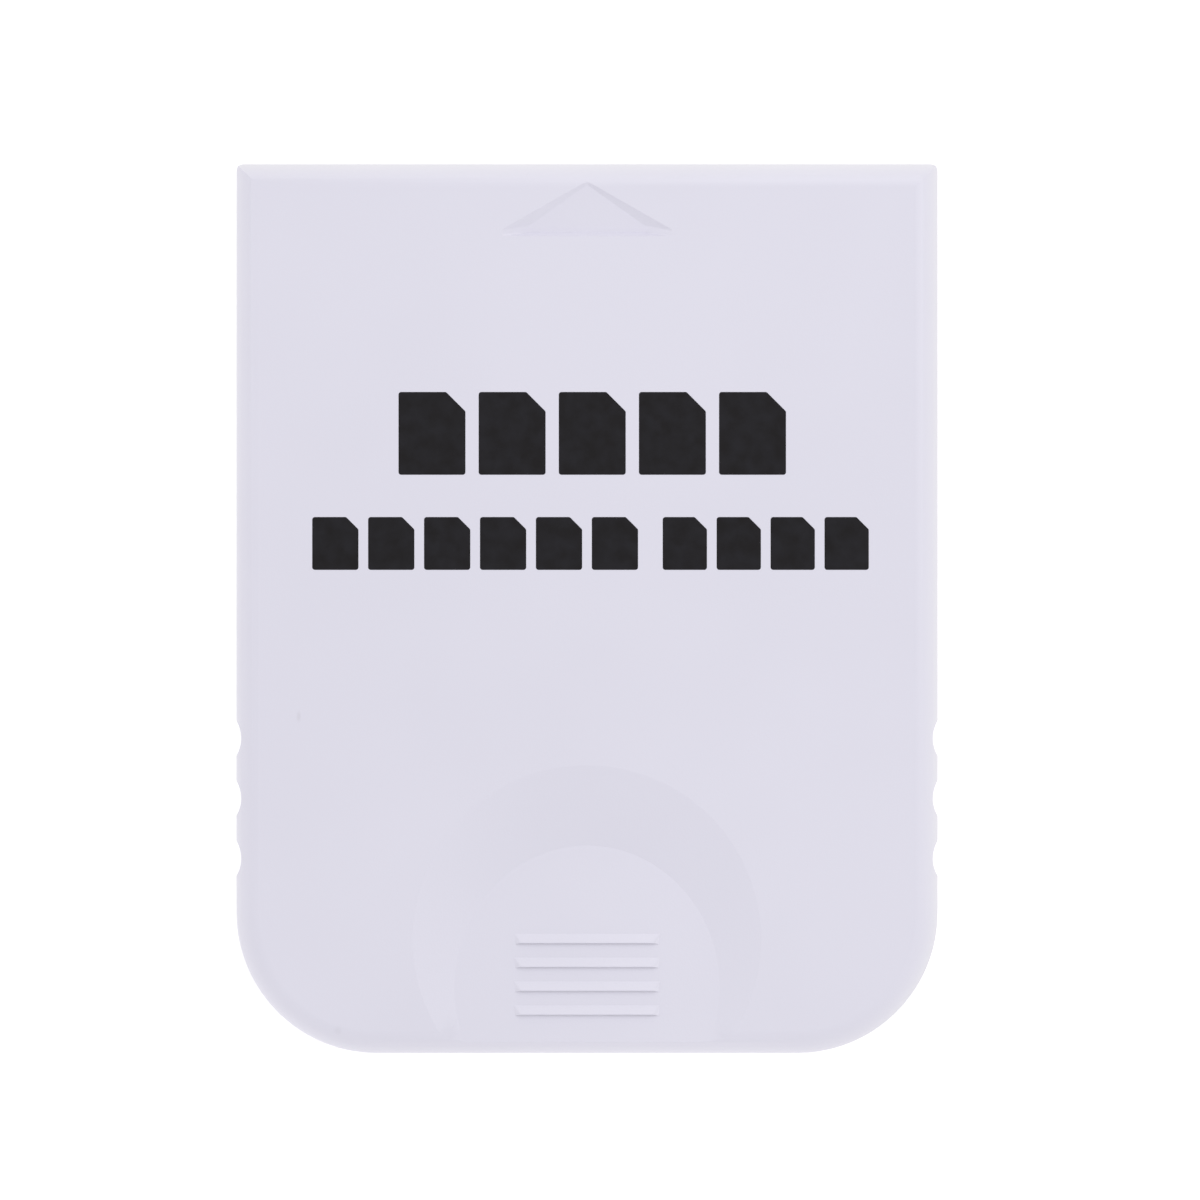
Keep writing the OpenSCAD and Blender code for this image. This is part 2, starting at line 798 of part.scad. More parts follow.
// A row of leads along the side of a chip that faces +X
module lead_row(side_x, count, reach, body_h) {
    for (i = [0:count - 1]) {
        translate([side_x, (i - (count - 1) / 2) * lead_pitch, 0])
            gull_lead(reach, body_h, lead_w);
    }
}

// The dimple beside a chip's first lead
module first_lead_dimple(width, length, height) {
    translate([width / 2 - dimple_inset, length / 2 - dimple_inset,
               chip_gap + height - dimple_depth])
        cylinder(h = over, r = dimple_r);
}

// Memory chip: a wide flat package with leads on its two short sides
module memory_chip() {
    color(chip_colour)
        on_board(0, memory_from_slot)
            difference() {
                chip_body(memory_w, memory_l, memory_t);
                first_lead_dimple(memory_w, memory_l, memory_t);
            }
}

module memory_chip_leads() {
    color(metal_colour)
        on_board(0, memory_from_slot)
            both_sides()
                lead_row(memory_w / 2, memory_leads, memory_lead_l, memory_t);
}

// Controller chip: a square package with leads on all four sides
module controller_chip() {
    color(chip_colour)
        on_board(controller_x, controller_from_slot)
            difference() {
                chip_body(controller_w, controller_w, controller_t);
                first_lead_dimple(controller_w, controller_w, controller_t);
            }
}

module controller_chip_leads() {
    color(metal_colour)
        on_board(controller_x, controller_from_slot)
            for (turn = [0:90:270]) {
                rotate([0, 0, turn])
                    lead_row(controller_w / 2, controller_leads, controller_lead_l, controller_t);
            }
}

// Voltage regulator: a small body with one lead on one side and two on the other
module regulator() {
    color(chip_colour)
        on_board(regulator_place[0], regulator_place[1], regulator_place[2])
            chip_body(regulator_l, regulator_w, regulator_h);
}

module regulator_leads() {
    color(metal_colour)
        on_board(regulator_place[0], regulator_place[1], regulator_place[2]) {
            rotate([0, 0, 90])
                translate([regulator_w / 2, 0, 0])
                    gull_lead(regulator_lead_l, regulator_h, regulator_lead_w);
            for (side = [-1, 1]) {
                rotate([0, 0, -90])
                    translate([regulator_w / 2, side * regulator_lead_offset, 0])
                        gull_lead(regulator_lead_l, regulator_h, regulator_lead_w);
            }
        }
}

// The body of a chip capacitor or resistor, between its end caps
module small_body(height) {
    length = small_l - 2 * cap_l;
    translate([-length / 2, -small_w / 2 + cap_skin, cap_skin])
        cube([length, small_w - 2 * cap_skin, height - 2 * cap_skin]);
}

// The two metal end caps of a chip capacitor or resistor
module small_ends(height) {
    both_sides()
        translate([small_l / 2 - cap_l, -small_w / 2, 0])
            cube([cap_l, small_w, height]);
}

module capacitor(i) {
    place = capacitor_places[i - 1];
    color("#b59a72")
        on_board(place[0], place[1], place[2])
            small_body(capacitor_h);
}

module capacitor_ends(i) {
    place = capacitor_places[i - 1];
    color(metal_colour)
        on_board(place[0], place[1], place[2])
            small_ends(capacitor_h);
}

module resistor(i) {
    place = resistor_places[i - 1];
    color(chip_colour)
        on_board(place[0], place[1], place[2])
            small_body(resistor_h);
}

module resistor_ends(i) {
    place = resistor_places[i - 1];
    color(metal_colour)
        on_board(place[0], place[1], place[2])
            small_ends(resistor_h);
}

front_shell();
rear_shell();
circuit_board();
screw();
memory_chip();
memory_chip_leads();
controller_chip();
controller_chip_leads();
regulator();
regulator_leads();
for (i = [1:finger_count])
    contact_finger(i);
for (i = [1:len(capacitor_places)])
    capacitor(i);
for (i = [1:len(capacitor_places)])
    capacitor_ends(i);
for (i = [1:len(resistor_places)])
    resistor(i);
for (i = [1:len(resistor_places)])
    resistor_ends(i);
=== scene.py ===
"""Looks of a memory card for a games console. It lies on its rear face and is seen from straight
above, with its insertion end at the top of the picture. Every length is in metres: a size that
is written in millimetres is multiplied by MM.
"""
import json
import math

import bpy
import numpy as np
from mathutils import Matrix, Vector


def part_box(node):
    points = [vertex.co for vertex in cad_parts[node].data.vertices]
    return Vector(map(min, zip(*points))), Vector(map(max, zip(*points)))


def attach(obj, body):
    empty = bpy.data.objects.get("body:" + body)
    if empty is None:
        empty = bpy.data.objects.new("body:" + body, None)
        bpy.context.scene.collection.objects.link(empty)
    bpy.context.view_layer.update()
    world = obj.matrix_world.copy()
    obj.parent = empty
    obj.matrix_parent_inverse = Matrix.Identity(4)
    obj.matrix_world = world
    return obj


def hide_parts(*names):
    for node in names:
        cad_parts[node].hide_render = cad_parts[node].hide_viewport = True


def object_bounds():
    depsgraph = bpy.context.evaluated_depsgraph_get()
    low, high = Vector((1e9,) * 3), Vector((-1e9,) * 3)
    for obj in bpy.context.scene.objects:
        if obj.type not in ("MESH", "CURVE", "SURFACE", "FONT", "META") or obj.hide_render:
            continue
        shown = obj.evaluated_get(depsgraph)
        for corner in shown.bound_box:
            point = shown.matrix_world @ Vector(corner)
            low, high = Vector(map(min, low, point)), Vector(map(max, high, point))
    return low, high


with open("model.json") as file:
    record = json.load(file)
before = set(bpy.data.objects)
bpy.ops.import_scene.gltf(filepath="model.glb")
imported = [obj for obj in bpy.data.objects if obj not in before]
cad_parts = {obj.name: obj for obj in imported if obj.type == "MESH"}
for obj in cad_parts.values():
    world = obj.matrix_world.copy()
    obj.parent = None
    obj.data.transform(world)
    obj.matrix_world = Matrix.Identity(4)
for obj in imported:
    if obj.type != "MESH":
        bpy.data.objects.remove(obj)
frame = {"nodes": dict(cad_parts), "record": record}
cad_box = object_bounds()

MM = 0.001

card_low, card_high = cad_box
finger_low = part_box("contact_finger_1")[0]
FACE_Z = card_high.z


# Colours and nodes

# The places of a colour Mix node's sockets: its share, its two colours and its result
SHARE, FIRST, SECOND, MIXED = 0, 6, 7, 2


def linear(hex_colour):
    """An sRGB hex colour as linear red, green, blue and alpha."""
    parts = [int(hex_colour[i:i + 2], 16) / 255 for i in (1, 3, 5)]
    return [p / 12.92 if p <= 0.04045 else ((p + 0.055) / 1.055) ** 2.4 for p in parts] + [1.0]


def per_mm(size_mm):
    """The noise scale whose lumps are about size_mm across."""
    return 1 / (size_mm * MM)


def add_node(tree, kind, inputs=(), **settings):
    """Adds a node. settings are the node's own properties, and inputs gives each socket either a
    value or the output that is linked to it."""
    node = tree.nodes.new(kind)
    for name, value in settings.items():
        setattr(node, name, value)
    for socket, value in dict(inputs).items():
        if isinstance(value, bpy.types.NodeSocket):
            tree.links.new(value, node.inputs[socket])
        else:
            node.inputs[socket].default_value = value
    return node


def new_material(name, **surface):
    """An empty material with one Principled shader, whose sockets take the given values. Returns
    the material, its tree, the shader and the output with the object's own coordinates."""
    material = bpy.data.materials.new(name)
    material.use_nodes = True
    tree = material.node_tree
    tree.nodes.clear()
    shader = add_node(tree, "ShaderNodeBsdfPrincipled", surface)
    add_node(tree, "ShaderNodeOutputMaterial", {"Surface": shader.outputs["BSDF"]})
    place = add_node(tree, "ShaderNodeTexCoord").outputs["Object"]
    return material, tree, shader, place


# Materials

# The two faint smudges of dirt on the front face. Each one: across, along, half its width and
# half its length in millimetres, and the share of the dirt's colour in its middle
SMUDGES = ((-16.37, -6.13, 0.16, 0.38, 0.09), (-14.15, -23.97, 0.29, 0.33, 0.045))


def moulded_abs():
    """ABS, injection moulded in one pale lilac grey. A fine spark-eroded mould makes it matt and
    even, with only a breath of cloud in the colour, and two faint smudges lie on its face."""
    material, tree, shader, place = new_material("moulded_abs", Roughness=0.42, IOR=1.54)
    lumps = add_node(tree, "ShaderNodeTexNoise", {"Vector": place, "Scale": per_mm(14)})
    cloud = add_node(tree, "ShaderNodeMapRange", {
        "Value": lumps.outputs["Fac"], "From Min": 0.35, "From Max": 0.65})
    colour = add_node(tree, "ShaderNodeMix", {
        SHARE: cloud.outputs["Result"], FIRST: linear("#dddbe8"), SECOND: linear("#dfddea"),
    }, data_type="RGBA").outputs[MIXED]
    for x_mm, y_mm, half_width, half_length, strength in SMUDGES:
        # The distance from the smudge's middle is 1 all round its edge
        centre = np.array((x_mm, y_mm, FACE_Z / MM))
        stretch = 1 / np.array((half_width, half_length, half_width))
        offset = add_node(tree, "ShaderNodeMapping", {
            "Vector": place, "Location": -centre * stretch, "Scale": stretch / MM})
        distance = add_node(tree, "ShaderNodeVectorMath", {
            0: offset.outputs["Vector"]}, operation="LENGTH")
        cover = add_node(tree, "ShaderNodeMapRange", {
            "Value": distance.outputs["Value"], "From Min": 0.3, "From Max": 1.0,
            "To Min": strength, "To Max": 0.0})
        colour = add_node(tree, "ShaderNodeMix", {
            SHARE: cover.outputs["Result"], FIRST: colour, SECOND: linear("#5b4a44"),
        }, data_type="RGBA").outputs[MIXED]
    tree.links.new(colour, shader.inputs["Base Color"])
    # The mould's grain is about 0.1 mm across and a few thousandths deep
    grain = add_node(tree, "ShaderNodeTexNoise", {"Vector": place, "Scale": per_mm(0.12)})
    bump = add_node(tree, "ShaderNodeBump", {
        "Height": grain.outputs["Fac"], "Distance": 0.003 * MM})
    tree.links.new(bump.outputs["Normal"], shader.inputs["Normal"])
    return material


def pad_printed_ink():
    """Black pad-printing ink: a film a hundredth of a millimetre thick, satin, with the faint
    unevenness that the silicone pad leaves."""
    material, tree, shader, place = new_material(
        "pad_printed_ink", Roughness=0.5, IOR=1.5, **{"Specular IOR Level": 0.12})
    lumps = add_node(tree, "ShaderNodeTexNoise", {"Vector": place, "Scale": per_mm(0.8)})
    patch = add_node(tree, "ShaderNodeMapRange", {
        "Value": lumps.outputs["Fac"], "From Min": 0.3, "From Max": 0.7})
    colour = add_node(tree, "ShaderNodeMix", {
        SHARE: patch.outputs["Result"], FIRST: linear("#1a181a"), SECOND: linear("#212024"),
    }, data_type="RGBA")
    tree.links.new(colour.outputs[MIXED], shader.inputs["Base Color"])
    ripple = add_node(tree, "ShaderNodeTexNoise", {"Vector": place, "Scale": per_mm(0.15)})
    bump = add_node(tree, "ShaderNodeBump", {
        "Height": ripple.outputs["Fac"], "Distance": 0.002 * MM})
    tree.links.new(bump.outputs["Normal"], shader.inputs["Normal"])
    return material


# The copper tracks under the solder mask, how far the mask stays off the contact fingers, and
# over what length it ends
TRACK_PITCH_MM = 0.6
TRACK_HEIGHT_MM = 0.02
MASK_MARGIN = 0.6 * MM
MASK_EDGE = 0.05 * MM


def solder_masked_board():
    """Glass and epoxy laminate under green solder mask. The mask is glossy and shows the tracks
    beneath it a little lighter, stops short of the contact fingers, and leaves the sawn edge tan."""
    material, tree, shader, place = new_material("solder_masked_board", Roughness=0.3, IOR=1.5)
    # A wave texture repeats 20 times in 2 pi units at a scale of 1
    wave = add_node(tree, "ShaderNodeTexWave", {
        "Vector": place, "Scale": per_mm(TRACK_PITCH_MM) * 2 * math.pi / 20, "Distortion": 0.0,
    }, bands_direction="X")
    track = add_node(tree, "ShaderNodeMapRange", {
        "Value": wave.outputs["Fac"], "From Min": 0.55, "From Max": 0.65})
    along = add_node(tree, "ShaderNodeMapping", {"Vector": place, "Scale": (1, 0.4, 1)})
    lumps = add_node(tree, "ShaderNodeTexNoise", {
        "Vector": along.outputs["Vector"], "Scale": per_mm(5)})
    group = add_node(tree, "ShaderNodeMapRange", {
        "Value": lumps.outputs["Fac"], "From Min": 0.48, "From Max": 0.52})
    copper = add_node(tree, "ShaderNodeMath", {
        0: track.outputs["Result"], 1: group.outputs["Result"]}, operation="MULTIPLY")
    mask = add_node(tree, "ShaderNodeMix", {
        SHARE: copper.outputs["Value"], FIRST: linear("#1b5233"), SECOND: linear("#2a6e44"),
    }, data_type="RGBA")
    parts = add_node(tree, "ShaderNodeSeparateXYZ", {"Vector": place})
    bare = add_node(tree, "ShaderNodeMapRange", {
        "Value": parts.outputs["Y"], "From Min": finger_low.y - MASK_MARGIN,
        "From Max": finger_low.y - MASK_MARGIN + MASK_EDGE})
    face = add_node(tree, "ShaderNodeMix", {
        SHARE: bare.outputs["Result"], FIRST: mask.outputs[MIXED], SECOND: linear("#8f8c58"),
    }, data_type="RGBA")
    # 1 on the two faces of the board and 0 on its sawn edge
    normal = add_node(tree, "ShaderNodeNewGeometry").outputs["Normal"]
    lean = add_node(tree, "ShaderNodeSeparateXYZ", {"Vector": normal})
    flat = add_node(tree, "ShaderNodeMath", {0: lean.outputs["Z"]}, operation="ABSOLUTE")
    colour = add_node(tree, "ShaderNodeMix", {
        SHARE: flat.outputs["Value"], FIRST: linear("#b3a36c"), SECOND: face.outputs[MIXED],
    }, data_type="RGBA")
    tree.links.new(colour.outputs[MIXED], shader.inputs["Base Color"])
    sawn = add_node(tree, "ShaderNodeMapRange", {
        "Value": flat.outputs["Value"], "To Min": 0.75, "To Max": 0.3})
    tree.links.new(sawn.outputs["Result"], shader.inputs["Roughness"])
    bump = add_node(tree, "ShaderNodeBump", {
        "Height": copper.outputs["Value"], "Distance": TRACK_HEIGHT_MM * MM})
    tree.links.new(bump.outputs["Normal"], shader.inputs["Normal"])
    return material


def plated_gold():
    """Hard gold over nickel, electroplated: a warm satin metal that keeps the faint brushed grain
    of the copper beneath, along the card."""
    material, tree, shader, place = new_material("plated_gold", Metallic=1.0)
    along = add_node(tree, "ShaderNodeMapping", {"Vector": place, "Scale": (1, 0.05, 1)})
    lumps = add_node(tree, "ShaderNodeTexNoise", {
        "Vector": along.outputs["Vector"], "Scale": per_mm(0.15)})
    grain = add_node(tree, "ShaderNodeMapRange", {
        "Value": lumps.outputs["Fac"], "From Min": 0.3, "From Max": 0.7})
    colour = add_node(tree, "ShaderNodeMix", {
        SHARE: grain.outputs["Result"], FIRST: linear("#e2bd63"), SECOND: linear("#e8c572"),
    }, data_type="RGBA")
    tree.links.new(colour.outputs[MIXED], shader.inputs["Base Color"])
    satin = add_node(tree, "ShaderNodeMapRange", {
        "Value": grain.outputs["Result"], "To Min": 0.27, "To Max": 0.33})
    tree.links.new(satin.outputs["Result"], shader.inputs["Roughness"])
    return material


def zinc_plated_steel():
    """Zinc-plated steel, barrel plated: a cool grey metal, a little cloudy from the tumbling."""
    material, tree, shader, place = new_material("zinc_plated_steel", Metallic=1.0)
    lumps = add_node(tree, "ShaderNodeTexNoise", {"Vector": place, "Scale": per_mm(0.7)})
    cloud = add_node(tree, "ShaderNodeMapRange", {
        "Value": lumps.outputs["Fac"], "From Min": 0.35, "From Max": 0.65})
    colour = add_node(tree, "ShaderNodeMix", {
        SHARE: cloud.outputs["Result"], FIRST: linear("#b4b8bc"), SECOND: linear("#cccfd1"),
    }, data_type="RGBA")
    tree.links.new(colour.outputs[MIXED], shader.inputs["Base Color"])
    satin = add_node(tree, "ShaderNodeMapRange", {
        "Value": cloud.outputs["Result"], "To Min": 0.42, "To Max": 0.3})
    tree.links.new(satin.outputs["Result"], shader.inputs["Roughness"])
    return material


def tinned_copper():
    """Copper alloy with a tin finish, as leads and end caps have: bright, soft-looking metal."""
    material, tree, shader, place = new_material("tinned_copper", Metallic=1.0, Roughness=0.34)
    lumps = add_node(tree, "ShaderNodeTexNoise", {"Vector": place, "Scale": per_mm(0.25)})
    cloud = add_node(tree, "ShaderNodeMapRange", {
        "Value": lumps.outputs["Fac"], "From Min": 0.3, "From Max": 0.7})
    colour = add_node(tree, "ShaderNodeMix", {
        SHARE: cloud.outputs["Result"], FIRST: linear("#b9bbbc"), SECOND: linear("#d3d4d3"),
    }, data_type="RGBA")
    tree.links.new(colour.outputs[MIXED], shader.inputs["Base Color"])
    return material


def chip_epoxy():
    """Black filled epoxy, transfer moulded: nearly black and dull, with a fine even grain and the
    faint grey cast of its glass filler."""
    material, tree, shader, place = new_material("chip_epoxy", Roughness=0.62, IOR=1.55)
    grain = add_node(tree, "ShaderNodeTexNoise", {"Vector": place, "Scale": per_mm(0.08)})
    colour = add_node(tree, "ShaderNodeMix", {
        SHARE: grain.outputs["Fac"], FIRST: linear("#222226"), SECOND: linear("#2c2c30"),
    }, data_type="RGBA")
    tree.links.new(colour.outputs[MIXED], shader.inputs["Base Color"])
    bump = add_node(tree, "ShaderNodeBump", {
        "Height": grain.outputs["Fac"], "Distance": 0.004 * MM})
    tree.links.new(bump.outputs["Normal"], shader.inputs["Normal"])
    return material


def capacitor_ceramic():
    """Fired barium titanate, as chip capacitors have: plain tan, smooth, with a faint mottle."""
    material, tree, shader, place = new_material("capacitor_ceramic", Roughness=0.4, IOR=1.6)
    lumps = add_node(tree, "ShaderNodeTexNoise", {"Vector": place, "Scale": per_mm(0.2)})
    mottle = add_node(tree, "ShaderNodeMapRange", {
        "Value": lumps.outputs["Fac"], "From Min": 0.3, "From Max": 0.7})
    colour = add_node(tree, "ShaderNodeMix", {
        SHARE: mottle.outputs["Result"], FIRST: linear("#ab8f66"), SECOND: linear("#bda27b"),
    }, data_type="RGBA")
    tree.links.new(colour.outputs[MIXED], shader.inputs["Base Color"])
    return material


def resistor_film():
    """A chip resistor: a glossy black glaze over the film, on white alumina sides."""
    material, tree, shader, place = new_material("resistor_film", Roughness=0.25, IOR=1.6)
    normal = add_node(tree, "ShaderNodeNewGeometry").outputs["Normal"]
    lean = add_node(tree, "ShaderNodeSeparateXYZ", {"Vector": normal})
    glaze = add_node(tree, "ShaderNodeMapRange", {
        "Value": lean.outputs["Z"], "From Min": 0.4, "From Max": 0.6})
    colour = add_node(tree, "ShaderNodeMix", {
        SHARE: glaze.outputs["Result"], FIRST: linear("#e6e4de"), SECOND: linear("#1b1b1f"),
    }, data_type="RGBA")
    tree.links.new(colour.outputs[MIXED], shader.inputs["Base Color"])
    return material


materials = {
    "shell_plastic": moulded_abs(),
    "print_ink": pad_printed_ink(),
    "board_laminate": solder_masked_board(),
    "contact_gold": plated_gold(),
    "screw_steel": zinc_plated_steel(),
    "tinned_metal": tinned_copper(),
    "chip_epoxy": chip_epoxy(),
    "capacitor_ceramic": capacitor_ceramic(),
    "resistor_film": resistor_film(),
}


def dress_nodes():
    """Gives each CAD node the material of its slot in the record."""
    for subpart in frame["record"]["subparts"]:
        slots = frame["nodes"][subpart["node"]].data.materials
        slots.clear()
        slots.append(materials[subpart["material_slot"]])


# Shells with smooth rounded edges

# Where the relief of the front face lies, as distances from the card's ends and middle
EDGE_RADIUS = 1.4 * MM
SCOOP_CENTRE_Y = card_low.y + 6.55 * MM
SCOOP_REACH = 10.1 * MM
SCOOP_DEPTH = 1.0 * MM
RIDGES_HALF_WIDTH = 4.3 * MM
RIDGES_END_Y = card_low.y + 7.0 * MM
ARROW_HALF_WIDTH = 5.0 * MM
ARROW_LOW_Y = card_high.y - 4.3 * MM
ARROW_HIGH_Y = card_high.y - 1.1 * MM
ARROW_LEAST_DEPTH = 0.03 * MM
# A flat with more area than this is the face or the scoop's floor
SMALLEST_FLAT = 20 * MM ** 2
JOIN_DISTANCE = 0.0005 * MM
# Planes closer than this, in normals that agree to a thousandth, count as one
PLANE_STEP = 0.002 * MM
# Surfaces that meet at less than these angles shade as one rounded surface: in general, over a
# thumb ridge, inside the arrow, and between the wall, the floor and the rim of the thumb scoop.
# A ridge or the arrow keeps a crisp edge where it meets the surface round it, but the steep side
# of a ridge fades into that surface
ROUND_ANGLE = math.radians(30)
RIDGE_ANGLE = math.radians(45)
RIDGE_FOOT_ANGLE = math.radians(75)
RIDGE_STEEP = math.radians(50)
ARROW_ANGLE = math.radians(35)
CRISP_ANGLE = math.radians(15)
SCOOP_ANGLE = math.radians(3)
SCOOP_LEAN = math.radians(16)


def joined_triangles(node):
    """The points and triangles of a CAD node, with points closer than half a micrometre made one
    and triangles without area left out."""
    mesh = frame["nodes"][node].data
    spots = np.empty(len(mesh.vertices) * 3, np.float32)
    mesh.vertices.foreach_get("co", spots)
    corners = np.empty(len(mesh.loops), np.int32)
    mesh.loops.foreach_get("vertex_index", corners)
    spots = spots.reshape(-1, 3).astype(float)
    cells = np.round(spots / JOIN_DISTANCE).astype(np.int64)
    first, same = np.unique(cells, axis=0, return_index=True, return_inverse=True)[1:]
    triangles = same.reshape(-1)[corners].reshape(-1, 3)
    whole = (triangles != np.roll(triangles, 1, axis=1)).all(axis=1)
    return spots[first], triangles[whole]


def plane_areas(normal, middle, doubled):
    """For each triangle, the whole area of the plane that it lies in. Two triangles share a plane
    when their normals and their planes' distances from the origin round to the same numbers."""
    distance = (normal * middle).sum(axis=1) / PLANE_STEP
    key = np.concatenate([np.round(normal * 1000), np.round(distance)[:, None]], axis=1)
    plane = np.unique(key, axis=0, return_inverse=True)[1].reshape(-1)
    return np.bincount(plane, weights=doubled / 2)[plane]


def relief_faces(middle, normal, plane_area):
    """Which faces belong to the thumb ridges, to the arrow, and to the scoop's wall or floor or
    the flat round it. Each is an array of true and false."""
    near_face = middle[:, 2] > FACE_Z - SCOOP_DEPTH
    across, along = np.abs(middle[:, 0]), middle[:, 1]
    small = near_face & (plane_area < SMALLEST_FLAT)
    ridge = small & (across < RIDGES_HALF_WIDTH) & (along < RIDGES_END_Y)
    ridge &= along > card_low.y + EDGE_RADIUS
    arrow = small & (across < ARROW_HALF_WIDTH) & (along > ARROW_LOW_Y)
    arrow &= (along < ARROW_HIGH_Y) & (middle[:, 2] < FACE_Z - ARROW_LEAST_DEPTH)
    reach = np.hypot(middle[:, 0], along - SCOOP_CENTRE_Y)
    flat = near_face & (plane_area > SMALLEST_FLAT)
    wall = near_face & (reach < SCOOP_REACH) & (along > card_low.y + EDGE_RADIUS)
    scoop = (flat | wall) & (normal[:, 2] > math.cos(SCOOP_LEAN)) & ~ridge
    return ridge, arrow, scoop


def corners_that_meet(owner):
    """All pairs of triangle corners that lie at the same point, each with itself too. owner gives
    each corner's point. The corners are sorted by point, and each is paired with its whole run."""
    order = np.argsort(owner, kind="stable")
    count = np.bincount(owner)
    start = (np.cumsum(count) - count)[owner[order]]
    size = count[owner[order]]
    step = np.arange(size.sum()) - np.repeat(np.cumsum(size) - size, size)
    return np.repeat(order, size), order[np.repeat(start, size) + step]


def corner_normals(points, triangles):
    """One normal for each corner of each triangle. It is the sum of the normals of all triangles
    round the same point that lean less than the limit from this one, each times its angle at the
    point and times the whole area of the plane that it lies in. So a rounded edge shades evenly,
    and a flat that runs into it stays flat."""
    sides = points[np.roll(triangles, -1, axis=1)] - points[triangles]
    cross = np.cross(sides[:, 0], sides[:, 1])
    doubled = np.linalg.norm(cross, axis=1)
    normal = cross / doubled[:, None]
    middle = points[triangles].mean(axis=1)
    unit = sides / np.linalg.norm(sides, axis=2)[:, :, None]
    turn = -(unit * np.roll(unit, 1, axis=1)).sum(axis=2)
    angle = np.arccos(np.clip(turn, -1, 1)).reshape(-1)
    plane_area = plane_areas(normal, middle, doubled)

    mine, other = corners_that_meet(triangles.reshape(-1))
    my_face, other_face = mine // 3, other // 3
    ridge, arrow, scoop = relief_faces(middle, normal, plane_area)
    limit = np.full(len(mine), ROUND_ANGLE)
    for relief, inside, outside in ((scoop, SCOOP_ANGLE, ROUND_ANGLE),
                                    (ridge, RIDGE_ANGLE, CRISP_ANGLE),
                                    (arrow, ARROW_ANGLE, CRISP_ANGLE)):
        limit[relief[my_face] != relief[other_face]] = outside
        limit[relief[my_face] & relief[other_face]] = inside
    foot = ridge & (normal[:, 2] < math.cos(RIDGE_STEEP))
    limit[foot[my_face] & ~ridge[other_face]] = RIDGE_FOOT_ANGLE
    near = (normal[my_face] * normal[other_face]).sum(axis=1) >= np.cos(limit)
    weight = np.where(near, angle[other] * plane_area[other_face], 0)
    total = np.stack([np.bincount(mine, weights=weight * normal[other_face, axis])
                      for axis in range(3)], axis=1)
    return total / np.linalg.norm(total, axis=1)[:, None]


def smooth_shell(node):
    """A shell of the CAD node's own triangles, joined and given smooth normals."""
    points, triangles = joined_triangles(node)
    mesh = bpy.data.meshes.new(node + "_smooth")
    mesh.from_pydata(points.tolist(), [], triangles.tolist())
    mesh.shade_smooth()
    mesh.normals_split_custom_set(corner_normals(points, triangles).tolist())
    mesh.materials.append(materials["shell_plastic"])
    shell = bpy.data.objects.new(node + "_smooth", mesh)
    bpy.context.scene.collection.objects.link(shell)
    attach(shell, "root")
    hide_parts(node)


# Printed marks

INK_THICKNESS = 0.01 * MM
# The film's section, from under its middle out round its rim and on to its top: how far in from
# the outline towards the centre, and how high, as shares
FILM_SECTION = ((0.5, 0.0), (0.02, 0.0), (0.006, 0.0), (0.0, 0.4), (0.006, 0.8), (0.02, 1.0))
# Each row: left end, right end, upper edge, lower edge, blocks, gap and cut corner, in millimetres
UPPER_MARKS = {"left": -10.7, "right": 11.3, "top": 12.30, "bottom": 7.60, "count": 5,
               "gap": 0.75, "cut": 1.1}
LOWER_MARKS = (
    {"left": -15.6, "right": 2.9, "top": 5.20, "bottom": 2.2, "count": 6, "gap": 0.55, "cut": 0.7},
    {"left": 4.3, "right": 16.0, "top": 5.20, "bottom": 2.2, "count": 4, "gap": 0.55, "cut": 0.7},
)
BLOCK_CORNER_R = 0.15
ARC_STEPS = 5


def block_outline(left, right, bottom, top, cut):
    """The outline of one block, anticlockwise: a rectangle whose upper right corner is cut off at
    45 degrees. Each corner is a short arc: centre plus radius times the cosine and sine of an
    angle that runs between the directions of its two sides."""
    r = BLOCK_CORNER_R
    lean = r * math.tan(math.pi / 8)
    arcs = (
        (left + r, bottom + r, 180, 270), (right - r, bottom + r, 270, 360),
        (right - r, top - cut - lean, 0, 45), (right - cut - lean, top - r, 45, 90),
        (left + r, top - r, 90, 180),
    )
    share = np.linspace(0, 1, ARC_STEPS)
    points = []
    for x, y, start, end in arcs:
        angle = np.radians(start + (end - start) * share)
        points.append(np.stack([x + r * np.cos(angle), y + r * np.sin(angle)], axis=1))
    return np.concatenate(points) * MM


def film_surface(outline):
    """A closed film over an outline. Ring after ring, the outline is drawn in towards its centre
    and lifted as FILM_SECTION says, and a fan of triangles closes the first and the last ring."""
    centre = outline.mean(axis=0)
    share, height = np.array(FILM_SECTION).T
    rings = outline[None] + (centre - outline)[None] * share[:, None, None]
    level = FACE_Z + INK_THICKNESS * height[:, None, None] * np.ones((1, len(outline), 1))
    grid = np.concatenate([rings, level], axis=2)
    count, around = grid.shape[:2]
    ends = np.array([[*centre, FACE_Z], [*centre, FACE_Z + INK_THICKNESS]])
    points = np.concatenate([grid.reshape(-1, 3), ends])
    ring, step = np.meshgrid(np.arange(count - 1), np.arange(around), indexing="ij")
    after = (step + 1) % around
    walls = np.stack([ring * around + step, ring * around + after,
                      (ring + 1) * around + after, (ring + 1) * around + step], axis=2)
    first, last = np.arange(around), (count - 1) * around + np.arange(around)
    foot = np.stack([np.roll(first, -1), first, np.full(around, count * around)], axis=1)
    crown = np.stack([last, np.roll(last, -1), np.full(around, count * around + 1)], axis=1)
    return points, walls.reshape(-1, 4), np.concatenate([foot, crown])


